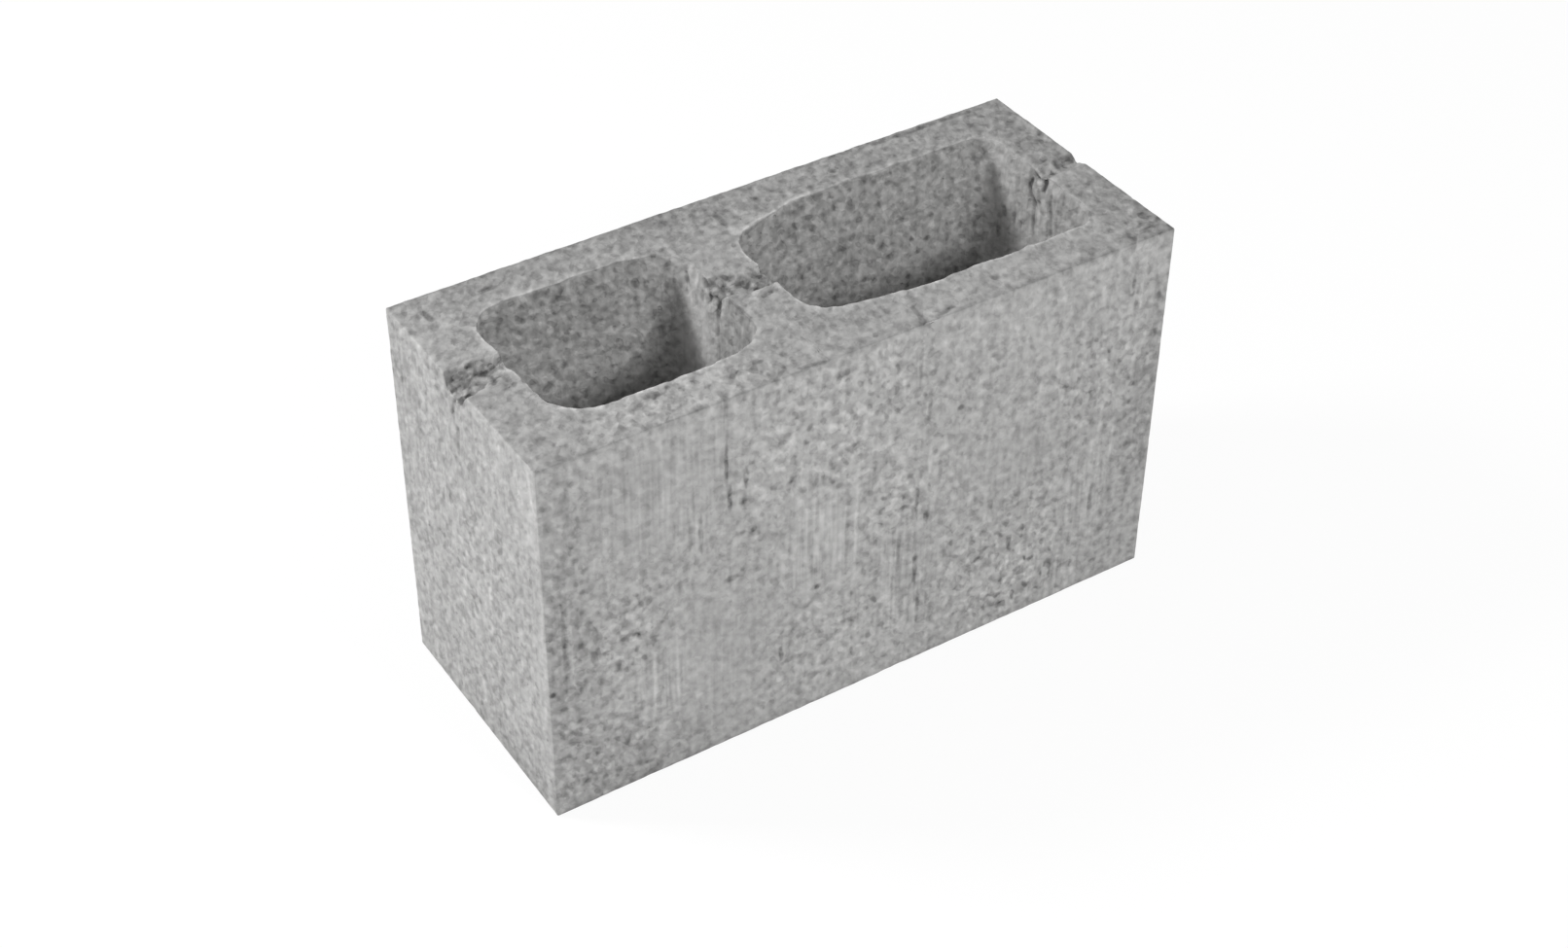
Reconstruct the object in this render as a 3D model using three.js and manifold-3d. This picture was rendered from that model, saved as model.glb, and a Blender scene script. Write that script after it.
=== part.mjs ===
// Hollow concrete block: one cast piece with two unequal cells right through it, plain flat ends and a
// core-bar groove across the top of each of its three webs.
//
// Millimetres, +Z up. X runs along the block and Y across it. The origin is the middle of the face that the
// block stands on. The small cell is at the -X end.

import * as THREE from 'three';
import { mergeVertices } from 'three/addons/utils/BufferGeometryUtils.js';
import Module from 'manifold-3d';

const wasm = await Module();
wasm.setup();

// ---- driving dimensions ----

const LENGTH = 340;
const WIDTH = 140;
const HEIGHT = 205;
const ARRIS = 1.2; // chamfer that eases every outer arris

// Walls, measured at the top, where they are thinnest.
const FACE_SHELL = 24.5;
const END_WEB = 25;
const MIDDLE_WEB = 25;
const MIDDLE_WEB_CENTRE = 145; // from the small cell's end of the block

// The mould's cores are tapered, so that each cell is narrower at the bottom.
const DRAFT = 2; // on each side of a cell, over the height of the block

// A cell's corners at its end web are rounded by end fillets. Towards the middle web each face shell thickens
// by a haunch, so many millimetres long and thick, and the web fillets round the corners that are left.
const WEB_FILLET = 18;
const SMALL_CELL = {
  front: { endFillet: 22, haunchRun: 30, haunchRise: 6 },
  back: { endFillet: 18, haunchRun: 30, haunchRise: 6 },
};
const LARGE_CELL = {
  front: { endFillet: 13, haunchRun: 52, haunchRise: 9 },
  back: { endFillet: 13, haunchRun: 42, haunchRise: 12 },
};

// The bar that held the cores in the mould left a groove along X across the top of each web. The concrete
// slumped back into it unevenly: each groove has its own front and back edge in Y at the top, and its floor
// slopes from its depth at the web's -X face to its depth at the web's +X face.
const GROOVES = {
  left: { front: -9, back: 11.5, depths: [8.5, 3] },
  middle: { front: -6, back: 10.5, depths: [4.5, 2.5] },
  right: { front: -2, back: 8.5, depths: [3, 2] },
};
const GROOVE_LEAN = 0.25; // how far a groove's side leans out for each millimetre that it rises
const GROOVE_FILLET = 2.5;

const ARC_STEPS = 8; // straight pieces in each rounded corner
const OVERRUN = 10; // how far a cutting tool runs past the face it opens
const GROOVE_OVERRUN = 1; // the same for a groove's ends, short because its floor slopes

// ---- outlines ----

// A closed outline through the corners, each rounded by its own radius: [x, y, radius], anticlockwise.
function roundedOutline(corners) {
  const shape = new THREE.Shape();
  corners.forEach(([x, y, radius], index) => {
    const corner = new THREE.Vector2(x, y);
    const before = new THREE.Vector2(...corners.at(index - 1));
    const after = new THREE.Vector2(...corners[(index + 1) % corners.length]);
    const back = before.sub(corner).normalize();
    const ahead = after.sub(corner).normalize();
    const halfAngle = Math.acos(back.dot(ahead)) / 2;
    const centre = back.clone().add(ahead).normalize();
    centre.multiplyScalar(radius / Math.sin(halfAngle)).add(corner);
    const turn = Math.PI - 2 * halfAngle;
    const start = back.multiplyScalar(radius / Math.tan(halfAngle)).add(corner).sub(centre);
    for (let step = 0; step <= ARC_STEPS; step += 1) {
      const angle = (turn * step) / ARC_STEPS;
      const point = start.clone().rotateAround(new THREE.Vector2(), angle).add(centre);
      if (index === 0 && step === 0) {
        shape.moveTo(point.x, point.y);
      } else {
        shape.lineTo(point.x, point.y);
      }
    }
  });
  return shape;
}

// A cell's outline at the top of the block, about the cell's own middle. The middle web is on its +X side
// where webSide is 1 and on its -X side where webSide is -1.
function cellOutline(length, { front, back }, webSide) {
  const x = webSide * (length / 2);
  const y = WIDTH / 2 - FACE_SHELL;
  const corners = [
    [-x, y, back.endFillet],
    [-x, -y, front.endFillet],
    [x - webSide * front.haunchRun, -y, 2 * front.haunchRun],
    [x, -y + front.haunchRise, WEB_FILLET],
    [x, y - back.haunchRise, WEB_FILLET],
    [x - webSide * back.haunchRun, y, 2 * back.haunchRun],
  ];
  return roundedOutline(webSide === 1 ? corners : corners.reverse());
}

// ---- solids ----

function toManifold(geometry) {
  const bare = geometry.clone();
  bare.deleteAttribute('normal');
  bare.deleteAttribute('uv');
  const merged = mergeVertices(bare, 1e-4);
  return new wasm.Manifold(
    new wasm.Mesh({
      numProp: 3,
      vertProperties: new Float32Array(merged.attributes.position.array),
      triVerts: new Uint32Array(merged.index.array),
    }),
  );
}

function toGeometry(manifold) {
  const mesh = manifold.getMesh();
  const geometry = new THREE.BufferGeometry();
  geometry.setAttribute('position', new THREE.BufferAttribute(mesh.vertProperties, 3));
  geometry.setIndex(new THREE.BufferAttribute(mesh.triVerts, 1));
  geometry.computeVertexNormals();
  return geometry;
}

// The block before its cells are cored: a box with a chamfer along all its arrises.
function outerBody() {
  const x = LENGTH / 2 - ARRIS;
  const y = WIDTH / 2;
  const plan = new THREE.Shape([
    new THREE.Vector2(-x, -y),
    new THREE.Vector2(x, -y),
    new THREE.Vector2(x + ARRIS, -y + ARRIS),
    new THREE.Vector2(x + ARRIS, y - ARRIS),
    new THREE.Vector2(x, y),
    new THREE.Vector2(-x, y),
    new THREE.Vector2(-x - ARRIS, y - ARRIS),
    new THREE.Vector2(-x - ARRIS, -y + ARRIS),
  ]);
  const body = new THREE.ExtrudeGeometry(plan, {
    depth: HEIGHT - 2 * ARRIS,
    bevelThickness: ARRIS,
    bevelSize: ARRIS,
    bevelOffset: -ARRIS,
    bevelSegments: 1,
  });
  return body.translate(0, 0, ARRIS);
}

// The tapered core of one cell, which runs past the top and the bottom of the block.
function cellCore(outline, length) {
  const core = new THREE.ExtrudeGeometry(outline, { depth: HEIGHT + 2 * OVERRUN, bevelEnabled: false });
  core.translate(0, 0, -OVERRUN);
  const width = WIDTH - 2 * FACE_SHELL;
  const points = core.attributes.position;
  for (let i = 0; i < points.count; i += 1) {
    const drawnIn = (2 * DRAFT * (HEIGHT - points.getZ(i))) / HEIGHT;
    const x = points.getX(i) * (1 - drawnIn / length);
    const y = points.getY(i) * (1 - drawnIn / width);
    points.setXY(i, x, y);
  }
  return core;
}

// The bar that cuts the groove in the web between two X values, with its own leaning sides, rounded floor
// corners and sloping floor.
function grooveBar({ front, back, depths }, from, to) {
  const deepest = Math.max(...depths);
  const rise = GROOVE_LEAN * OVERRUN;
  const run = GROOVE_LEAN * deepest;
  const section = roundedOutline([
    [front - rise, OVERRUN, GROOVE_FILLET],
    [front + run, -deepest, GROOVE_FILLET],
    [back - run, -deepest, GROOVE_FILLET],
    [back + rise, OVERRUN, GROOVE_FILLET],
  ]);
  const length = to - from + 2 * GROOVE_OVERRUN;
  const bar = new THREE.ExtrudeGeometry(section, { depth: length, bevelEnabled: false });
  bar.rotateX(Math.PI / 2);
  bar.rotateZ(Math.PI / 2);
  bar.translate(from - GROOVE_OVERRUN, 0, 0);
  const points = bar.attributes.position;
  for (let i = 0; i < points.count; i += 1) {
    const share = (points.getX(i) - from) / (to - from);
    const depth = THREE.MathUtils.lerp(depths[0], depths[1], share);
    const z = points.getZ(i);
    points.setZ(i, z < 0 ? (z * depth) / deepest : z);
  }
  return bar.translate(0, 0, HEIGHT);
}

// ---- the block ----

const leftEnd = -LENGTH / 2;
const rightEnd = LENGTH / 2;
const middleWebX = leftEnd + MIDDLE_WEB_CENTRE;
const smallCell = { from: leftEnd + END_WEB, to: middleWebX - MIDDLE_WEB / 2 };
const largeCell = { from: middleWebX + MIDDLE_WEB / 2, to: rightEnd - END_WEB };

let block = toManifold(outerBody());
for (const [{ from, to }, corners, webSide] of [
  [smallCell, SMALL_CELL, 1],
  [largeCell, LARGE_CELL, -1],
]) {
  const length = to - from;
  const core = cellCore(cellOutline(length, corners, webSide), length);
  core.translate((from + to) / 2, 0, 0);
  block = block.subtract(toManifold(core));
}
for (const [groove, from, to] of [
  [GROOVES.left, leftEnd, smallCell.from],
  [GROOVES.middle, smallCell.to, largeCell.from],
  [GROOVES.right, largeCell.to, rightEnd],
]) {
  block = block.subtract(toManifold(grooveBar(groove, from, to)));
}

const concrete = new THREE.MeshStandardMaterial({ color: 0x9e9e9b, roughness: 0.95, metalness: 0 });
const blockMesh = new THREE.Mesh(toGeometry(block), concrete);
blockMesh.name = 'block';

const group = new THREE.Group();
group.add(blockMesh);

export default group;
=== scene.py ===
"""A hollow concrete block, cast in one piece, standing on a pale studio floor.

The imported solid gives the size. One fine closed mesh replaces it and carries the cast surface: eased and
chipped arrises, torn cell rims and ragged core-bar grooves, under a procedural concrete.
Lengths are in millimetres, and MM turns them into metres where they go into a mesh, a light or a node.
"""

import math

import bpy
import numpy as np
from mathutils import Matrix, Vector


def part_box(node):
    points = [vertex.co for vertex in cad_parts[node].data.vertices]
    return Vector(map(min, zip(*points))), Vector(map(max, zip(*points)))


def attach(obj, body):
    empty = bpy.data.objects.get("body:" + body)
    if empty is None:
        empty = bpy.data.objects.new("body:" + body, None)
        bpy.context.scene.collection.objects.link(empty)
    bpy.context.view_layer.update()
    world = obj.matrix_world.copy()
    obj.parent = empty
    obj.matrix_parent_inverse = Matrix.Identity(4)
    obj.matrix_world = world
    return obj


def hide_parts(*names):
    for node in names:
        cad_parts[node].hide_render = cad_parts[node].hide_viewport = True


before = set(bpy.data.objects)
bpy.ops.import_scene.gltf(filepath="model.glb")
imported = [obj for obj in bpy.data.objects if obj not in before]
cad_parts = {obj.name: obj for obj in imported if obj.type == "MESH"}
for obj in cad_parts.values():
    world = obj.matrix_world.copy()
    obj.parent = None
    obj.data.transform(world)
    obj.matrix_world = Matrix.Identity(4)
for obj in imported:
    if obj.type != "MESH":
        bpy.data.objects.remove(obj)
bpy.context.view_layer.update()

# -------- sizes

MM = 0.001
LOW_CORNER, HIGH_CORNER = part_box("block")
LENGTH, WIDTH, HEIGHT = (round((b - a) / MM, 2) for a, b in zip(LOW_CORNER, HIGH_CORNER))

# Walls at the top, the cells' taper and their corners, as the solid has them.
FACE_SHELL = 24.5
END_WEB = 25.0
MIDDLE_WEB = 25.0
MIDDLE_WEB_X = 145.0 - LENGTH / 2
DRAFT = 2.0
WEB_FILLET = 18.0
# Each cell's ends, the side of it that the middle web is on, and of its front and its back wall the fillet at
# the end web and the haunch's run and rise.
SMALL_CELL = {
    "left": END_WEB - LENGTH / 2,
    "right": MIDDLE_WEB_X - MIDDLE_WEB / 2,
    "web_side": 1,
    "front": (22.0, 30.0, 6.0),
    "back": (18.0, 30.0, 6.0),
}
LARGE_CELL = {
    "left": MIDDLE_WEB_X + MIDDLE_WEB / 2,
    "right": LENGTH / 2 - END_WEB,
    "web_side": -1,
    "front": (13.0, 52.0, 9.0),
    "back": (13.0, 42.0, 12.0),
}

# The core-bar groove in each web. Beside its span in X, each value is given at evenly spaced places from its
# left end to its right end: its front and back edges in Y, its depth, and how far each side leans out for
# each mm that it rises.
SMALL_LEFT, SMALL_RIGHT = SMALL_CELL["left"], SMALL_CELL["right"]
LARGE_LEFT, LARGE_RIGHT = LARGE_CELL["left"], LARGE_CELL["right"]
GROOVES = [
    {
        "span": (-LENGTH / 2, SMALL_LEFT),
        "front": (-9.0, -8.5, -8.0, -4.0, -2.5),
        "back": (12.0, 11.0),
        "depth": (8.5, 3.0),
        "front_lean": (0.7, 1.8),
        "back_lean": (0.2, 0.2),
    },
    {
        "span": (SMALL_RIGHT, LARGE_LEFT),
        "front": (-4.5, -6.0, -8.5, -7.0),
        "back": (11.5, 9.5, 7.0, 7.5),
        "depth": (4.5, 3.0),
        "front_lean": (0.8, 0.6),
        "back_lean": (0.5, 0.3),
    },
    {
        "span": (LARGE_RIGHT, LENGTH / 2),
        "front": (-3.0, -3.5),
        "back": (7.5, 9.8),
        "depth": (2.6, 3.3),
        "front_lean": (1.2, 2.4),
        "back_lean": (1.5, 1.6),
    },
]

# How the cast edges are eased.
PLAN_RADIUS = 1.1  # the four upright arrises
ARRIS_RADIUS = 1.2  # the arrises round the top and the bottom
RIM_RADIUS = 0.9  # the rims of the cells
LIP = 0.8  # how far a rim stands into its cell
LIP_LEFT, LIP_FRONT = 1.4, 0.3  # how much more on the left and at the front, and less opposite
TOP_DROP = 0.45  # how far the top lies below its own highest lumps

# The mesh: how far apart its lines are, and how many make a curve.
PITCH = 1.75  # along the walls and across the top
GROOVE_PITCH = 1.25
EDGE_PITCH = 1.1  # up a wall, next to a rim or an arris
GROWTH = 1.08  # each step down a wall is longer by this factor, up to a limit
OUTER_LIMIT = 3.1
CELL_LIMIT = 6.0
BOTTOM_PITCH = 4.5
ARC_STEPS = 3
FILLET_STEPS = 8
CORNER_SPREAD = 2.0  # half the stretch of a cell corner that faces an upright arris
GROOVE_ZONE = 14.0  # half the width in which the mesh lines run straight across a web
SUNK_BAND = 45.0  # depth of wall that is drawn down with the edge under the groove


# -------- lumps of a cast surface

NOISE_PERIOD = 64  # the noise repeats after this many of its cells
NOISE_SHIFT = 0.37  # moves each seed's lattice, so that no two share their corners
NOISE_GAIN = 1.6  # brings the noise to about -1 to 1


def lumps(points, height, size, seed):
    """Smooth random lumps, about -height to height high and `size` mm across (one number, or one for each
    axis). Gradient noise: each corner of a lattice of cubes has a random direction, a point takes the dot
    product of its offset from each of the eight corners round it with that corner's direction, and blends
    the eight by 6t^5 - 15t^4 + 10t^3 along each axis."""
    directions = np.random.default_rng(seed).normal(size=(NOISE_PERIOD, NOISE_PERIOD, NOISE_PERIOD, 3))
    directions /= np.linalg.norm(directions, axis=-1, keepdims=True)
    place = points / np.asarray(size, dtype=float) + NOISE_SHIFT * seed
    cell = np.floor(place).astype(int)
    offset = place - cell
    blend = offset**3 * (offset * (offset * 6 - 15) + 10)
    total = np.zeros(len(points))
    for corner in np.ndindex(2, 2, 2):
        corner = np.array(corner)
        x, y, z = ((cell + corner) % NOISE_PERIOD).T
        weight = np.prod(np.where(corner == 1, blend, 1 - blend), axis=1)
        total += weight * np.einsum("ij,ij->i", directions[x, y, z], offset - corner)
    return height * (NOISE_GAIN * total)


def all_lumps(points, sets, start=0.0):
    """start plus the sum of several sets of lumps, each given by its height, size and seed."""
    return sum((lumps(points, *one) for one in sets), start)


def rise(value, low, high):
    """0 below low, 1 above high, and the smooth step 3t^2 - 2t^3 between them. Falls where low > high."""
    share = np.clip((value - low) / (high - low), 0.0, 1.0)
    return share * share * (3 - 2 * share)


# -------- outlines


def rounded(corners):
    """A closed outline through corners (x, y, radius), anticlockwise. Each corner becomes an arc whose
    centre is on the corner's bisector at radius / sin(half angle), turned from one tangent point to the
    other. The outline starts and ends at the middle of the first corner's arc. Returns its points and,
    for each corner, the number of its arc's middle point."""
    arcs = []
    turn = np.linspace(0.0, 1.0, FILLET_STEPS + 1)
    for k, (x, y, radius) in enumerate(corners):
        corner = np.array([x, y])
        back = np.array(corners[k - 1][:2]) - corner
        ahead = np.array(corners[(k + 1) % len(corners)][:2]) - corner
        back, ahead = back / np.linalg.norm(back), ahead / np.linalg.norm(ahead)
        half = math.acos(float(back @ ahead)) / 2
        centre = corner + (back + ahead) / np.linalg.norm(back + ahead) * radius / math.sin(half)
        start = corner + back * radius / math.tan(half) - centre
        sweep = (math.pi - 2 * half) * turn[:, None]
        arcs.append(centre + np.cos(sweep) * start + np.sin(sweep) * np.array([-start[1], start[0]]))
    points = np.roll(np.vstack(arcs), -(FILLET_STEPS // 2), axis=0)
    middles = [k * (FILLET_STEPS + 1) for k in range(len(corners))]
    return np.vstack([points, points[:1]]), middles


def running_length(path):
    """Distance of each point of a path from its first point, the sum of the steps before it."""
    return np.r_[0.0, np.cumsum(np.linalg.norm(np.diff(path, axis=0), axis=1))]


def cell_outline(cell):
    """The cell's outline at the top, from the middle of its front right corner anticlockwise, and the
    numbers of the middle points of its four corners and of its last point. Between the corners, each shell
    has a bend where its haunch begins."""
    side = cell["web_side"]
    middle = (cell["right"] + cell["left"]) / 2
    x = (cell["right"] - cell["left"]) / 2

    def wall(name, y):
        """A wall's corners at the web, at the bend and at the end, each with its radius."""
        fillet, run, rise_in = cell[name]
        web = (side * x, y - math.copysign(rise_in, y), WEB_FILLET)
        return web, (side * (x - run), y, 2 * run), (-side * x, y, fillet)

    web_front, bend_front, end_front = wall("front", FACE_SHELL - WIDTH / 2)
    web_back, bend_back, end_back = wall("back", WIDTH / 2 - FACE_SHELL)
    if side == 1:
        corners = [web_front, web_back, bend_back, end_back, end_front, bend_front]
    else:
        corners = [end_front, end_back, bend_back, web_back, web_front, bend_front]
    points, middles = rounded(corners)
    return points + [middle, 0.0], [middles[k] for k in (0, 1, 3, 4)] + [len(points) - 1]


# -------- stations round a cell


def spaced(first, last, pitch):
    """Evenly spaced values from first to last, both included, about pitch apart."""
    return np.linspace(first, last, int(round(abs(last - first) / pitch)) + 1)


def across_web(reach):
    """Places across a web from -reach to reach: GROOVE_PITCH apart in the groove zone, else PITCH."""
    outside = spaced(GROOVE_ZONE, reach, PITCH)[1:]
    return np.r_[-outside[::-1], spaced(-GROOVE_ZONE, GROOVE_ZONE, GROOVE_PITCH), outside]


def stations(cell):
    """Pairs of matched plan points round one cell: one on the cell's outline, one on the outline of that
    half of the block which holds the cell. The halves meet in the plane through the middle web.
    On the shells both divide their sides in the same ratio. Across a web both have the same y in the
    groove zone, and divide what is left in the same ratio. Real corners of the block are quarter circles.
    Returns inner points, outer points, outer normals and whether the station has an outer wall."""
    outline, cuts = cell_outline(cell)
    run = running_length(outline)
    plane_side = 0 if cell["web_side"] == 1 else 2
    low = -LENGTH / 2 if plane_side == 0 else MIDDLE_WEB_X
    high = MIDDLE_WEB_X if plane_side == 0 else LENGTH / 2
    half = WIDTH / 2
    corners = np.array([[high, -half], [high, half], [low, half], [low, -half]])
    facing = np.array([[1.0, 0.0], [0.0, 1.0], [-1.0, 0.0], [0.0, -1.0]])
    walk, outer, normal, walled = [], [], [], []
    for k in range(4):
        start, end = corners[k], corners[(k + 1) % 4]
        length = np.linalg.norm(end - start)
        starts_round = plane_side not in (k, (k - 1) % 4)
        ends_round = plane_side not in (k, (k + 1) % 4)
        first, last = starts_round * PLAN_RADIUS, length - ends_round * PLAN_RADIUS
        inner_first = run[cuts[k]] + starts_round * CORNER_SPREAD
        inner_last = run[cuts[k + 1]] - ends_round * CORNER_SPREAD
        if k in (0, 2):
            place = across_web(half - PLAN_RADIUS if starts_round else half) + half
            part = slice(cuts[k], cuts[k + 1] + 1)
            middle = np.interp(0.0, facing[k, 0] * outline[part, 1], run[part])
            zone = [half - GROOVE_ZONE, half + GROOVE_ZONE]
            inner_zone = [middle - GROOVE_ZONE, middle + GROOVE_ZONE]
            steps = np.interp(place, [first, *zone, last], [inner_first, *inner_zone, inner_last])
        else:
            place = spaced(first, last, PITCH)
            steps = np.interp(place, [first, last], [inner_first, inner_last])
        if k == plane_side:
            place, steps = place[1:-1], steps[1:-1]
        walk.append(steps)
        outer.append(start + place[:, None] * (end - start) / length)
        normal.append(np.tile(facing[k], (len(place), 1)) * (k != plane_side))
        walled.append(np.full(len(place), k != plane_side))
        if ends_round:
            following = facing[(k + 1) % 4]
            angle = np.linspace(0.0, math.pi / 2, ARC_STEPS + 1)[1:-1, None]
            round_normal = np.cos(angle) * facing[k] + np.sin(angle) * following
            outer.append(end + PLAN_RADIUS * (round_normal - facing[k] - following))
            normal.append(round_normal)
            share = angle[:, 0] / (math.pi / 2)
            walk.append(inner_last + share * 2 * CORNER_SPREAD)
            walled.append(np.full(ARC_STEPS - 1, True))
    walk = np.concatenate(walk) % run[-1]
    inner = np.stack([np.interp(walk, run, outline[:, axis]) for axis in (0, 1)], 1)
    return inner, np.vstack(outer), np.vstack(normal), np.concatenate(walled)


# -------- the ring of concrete round a cell

# Lumps along the grooves, each set with its height, size and seed.
FRONT_WANDER = (1.7, (6.0, 30.0, 9.0), 21)
BACK_WANDER = (0.6, (8.0, 30.0, 9.0), 24)
UNEVEN_FLOOR = (0.25, 4.5, 22)


def groove_depth(x, y):
    """Depth of the core-bar grooves at plan points. Each groove goes down from its front edge and from its
    back edge at 1 / lean, until it meets a floor. Edges, leans and floor run straight from each of their
    values to the next. Lumps push the edges in and out, and multiply the floor's depth."""
    x, y = np.broadcast_arrays(x, y)
    plan = np.stack([x, y, np.zeros_like(x)], -1).reshape(-1, 3)
    front_wander, back_wander, uneven = (
        lumps(plan, *one).reshape(x.shape) for one in (FRONT_WANDER, BACK_WANDER, UNEVEN_FLOOR)
    )
    depth = np.zeros(x.shape)
    for groove in GROOVES:
        left, right = groove["span"]
        here = {key: np.interp(x, np.linspace(left, right, len(row)), row) for key, row in groove.items()}
        near = np.abs(x - (left + right) / 2) < right - left
        front_side = (y - here["front"] + front_wander) / here["front_lean"]
        back_side = (here["back"] - y + back_wander) / here["back_lean"]
        floor = here["depth"] * (1 + uneven)
        depth = np.maximum(depth, near * np.clip(np.minimum(front_side, back_side), 0.0, floor))
    return depth


def wall_levels(radius, limit):
    """Heights up a wall between its two eased edges, the lowest first. Steps down from the top start at
    EDGE_PITCH and grow by GROWTH up to the limit. All are then stretched alike to fit the wall."""
    span = HEIGHT - 2 * radius
    steps = np.minimum(EDGE_PITCH * GROWTH ** np.arange(int(span / EDGE_PITCH) + 1), limit)
    depth = np.r_[0.0, np.cumsum(steps)]
    depth = depth[: np.searchsorted(depth, span) + 1]
    return (HEIGHT - radius - depth * span / depth[-1])[::-1]


def cell_ring(cell):
    """The concrete round one cell as a grid: the stations go round the cell, and at each the section goes
    up the cell wall, round the rim, over the top, round the arris, down the outer wall, and back under the
    bottom. The cell wall leans in by DRAFT, each edge is eased by a quarter circle, and the top and the
    bottom run straight between the edges. The top lies lower by the depth of the groove.
    Returns points, each point's distance from the cell's top rim, whether it is on the cell's wall, each
    point's direction away from the cell in plan, and the faces."""
    inner, outer, normal, walled = stations(cell)
    tangent = np.roll(inner, -1, axis=0) - np.roll(inner, 1, axis=0)
    tangent /= np.linalg.norm(tangent, axis=1, keepdims=True)
    away = np.stack([tangent[:, 1], -tangent[:, 0]], 1)[:, None]
    facing = normal[:, None]
    centre = np.array([(cell["left"] + cell["right"]) / 2, 0.0])
    size = np.array([cell["right"] - cell["left"], WIDTH - 2 * FACE_SHELL])

    def wall_plan(height):
        """The cell's outline at the given heights, drawn in on each side by DRAFT * depth / HEIGHT."""
        drawn_in = 2 * DRAFT * (HEIGHT - height) / HEIGHT
        return centre + (inner[:, None] - centre) * (1 - drawn_in[..., None] / size)

    def top_height(plan):
        """Height of the top at plan points."""
        return HEIGHT - TOP_DROP - groove_depth(plan[..., 0], plan[..., 1])

    def wall_heights(top, radius, limit):
        """A wall's levels, drawn down with its top edge, ever less down to SUNK_BAND below the top."""
        levels = wall_levels(radius, limit)
        share = np.clip((levels - HEIGHT + SUNK_BAND) / (SUNK_BAND - radius), 0.0, 1.0)
        return levels - share * (HEIGHT - top)

    def strip(plan, height):
        """Section points from plan points and heights, either of which may be the same all along."""
        height = np.broadcast_to(height, (len(inner), max(plan.shape[1], height.shape[1])))
        return np.dstack([np.broadcast_to(plan, height.shape + (2,)), height])

    def eased(plan, direction, radius, out, height, up):
        """An eased edge's points: plan and height, plus radius times out along direction and up."""
        return strip(plan + direction * radius * out[..., None], height + radius * up)

    quarter = np.linspace(0.0, math.pi / 2, ARC_STEPS + 1)
    sin, cos = np.sin(quarter)[None, :], np.cos(quarter)[None, :]
    full, foot = np.full((len(inner), 1), HEIGHT), np.zeros((len(inner), 1))
    rim_top = wall_plan(full) + away * RIM_RADIUS
    rim_foot = wall_plan(foot) + away * RIM_RADIUS
    arris = outer[:, None] - facing * ARRIS_RADIUS
    top_share = np.linspace(0.0, 1.0, int(FACE_SHELL / PITCH) + 2)[None, 1:-1, None]
    foot_share = np.linspace(0.0, 1.0, int(FACE_SHELL / BOTTOM_PITCH) + 2)[None, 1:-1, None]
    over_top = rim_top + (arris - rim_top) * top_share
    rim_height, arris_height = top_height(rim_top), top_height(arris)
    inner_z = wall_heights(rim_height, RIM_RADIUS, CELL_LIMIT)
    outer_z = wall_heights(arris_height, ARRIS_RADIUS, OUTER_LIMIT)[:, ::-1]

    parts = [
        strip(wall_plan(inner_z), inner_z)[:, 1:-1],
        eased(rim_top, away, RIM_RADIUS, -cos, rim_height, sin - 1),
        strip(over_top, top_height(over_top)),
        eased(arris, facing, ARRIS_RADIUS, sin, arris_height, cos - 1),
        strip(outer[:, None], outer_z)[:, 1:-1],
        eased(arris, facing, ARRIS_RADIUS, cos, foot, 1 - sin),
        strip(arris + (rim_foot - arris) * foot_share, foot),
        eased(rim_foot, away, RIM_RADIUS, -sin, foot, 1 - cos),
    ]
    grid = np.concatenate(parts, 1)

    ends = np.cumsum([part.shape[1] for part in parts])
    rim_distance = np.full(grid.shape[:2], LENGTH)
    rim_distance[:, : ends[0]] = rim_height - grid[:, : ends[0], 2]
    rim_distance[:, ends[0] : ends[1]] = 0.0
    rim_distance[:, ends[1] : ends[2]] = np.linalg.norm(over_top - rim_top, axis=2)
    section = np.arange(grid.shape[1])
    on_wall = np.broadcast_to(section < ends[0] + ARC_STEPS // 2, grid.shape[:2]).astype(float)
    away = np.broadcast_to(away, grid.shape[:2] + (2,))

    number = np.arange(len(inner) * grid.shape[1]).reshape(grid.shape[:2])
    right, above = np.roll(number, -1, axis=0), np.roll(number, -1, axis=1)
    quads = np.stack([number, above, np.roll(right, -1, axis=1), right], 2)
    both = walled & np.roll(walled, -1)
    outside = (section >= ends[2]) & (section < ends[5] - 1)
    keep = both[:, None] | ~outside[None, :]
    return grid.reshape(-1, 3), rim_distance.ravel(), on_wall.ravel(), away.reshape(-1, 2), quads[keep]


OFF_ROUND = 0.00037  # keeps coordinates off the values where rounding turns


def joined(rings):
    """Several grids as one mesh: points that are alike to a micrometre become one, with the smallest of
    their distances from a rim, and points that no face uses are left out."""
    offsets = np.cumsum([0] + [len(ring[0]) for ring in rings])
    columns = [np.concatenate([ring[k] for ring in rings]) for k in range(4)]
    quads = np.vstack([ring[4] + offset for ring, offset in zip(rings, offsets)])
    used, quads = np.unique(quads, return_inverse=True)
    points, rim_distance, on_wall, away = (column[used] for column in columns)
    key = np.round(points + OFF_ROUND, 3)
    _, first, group = np.unique(key, axis=0, return_index=True, return_inverse=True)
    group = group.reshape(-1)
    nearest = np.full(len(first), LENGTH)
    np.minimum.at(nearest, group, rim_distance)
    return points[first], nearest, on_wall[first], away[first], group[quads.reshape(-1, 4)]


def vertex_normals(points, quads):
    """Unit normals at the points: the sum of the area normals of the faces that meet there, each the cross
    product of the face's diagonals."""
    a, b, c, d = (points[quads[:, k]] for k in range(4))
    area = np.cross(c - a, d - b)
    total = [np.bincount(quads.ravel(), np.repeat(area[:, axis], 4), len(points)) for axis in range(3)]
    total = np.stack(total, 1)
    return total / np.linalg.norm(total, axis=1, keepdims=True)


# -------- wear

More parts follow.
